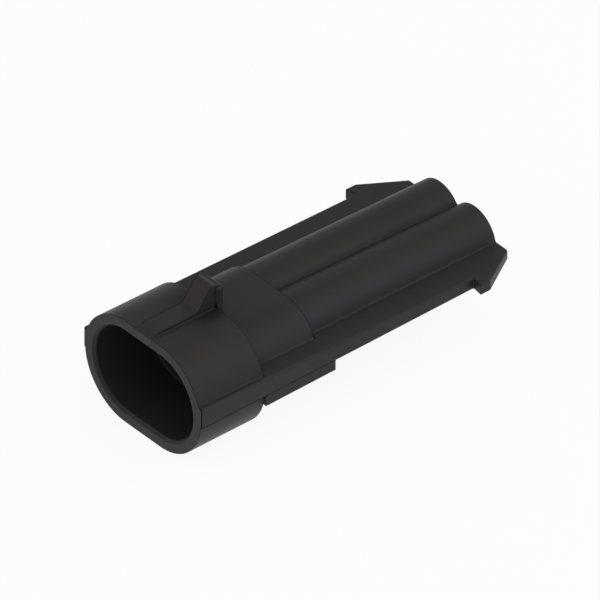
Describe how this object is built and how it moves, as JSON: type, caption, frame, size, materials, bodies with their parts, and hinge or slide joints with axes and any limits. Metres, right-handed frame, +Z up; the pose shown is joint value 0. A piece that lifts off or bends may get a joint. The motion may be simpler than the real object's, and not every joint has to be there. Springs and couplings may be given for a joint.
{
  "type": "connector housing",
  "caption": "Sealed cable connector housing with an oval mating mouth, a ramp lock on top, side rails with snap barbs and round cable tubes.",
  "frame": {"origin": "in the plane of the mouth rim, midway between the axes of the two cavities", "axes": "X across the two cavities, +Y from the mouth to the cable end, +Z up towards the lock ramp"},
  "size_m": [0.0256, 0.05, 0.0184],
  "materials": {
    "housing": "fine grained, near black"
  },
  "bodies": {
    "root": {"housing": "housing"}
  },
  "joints": []
}
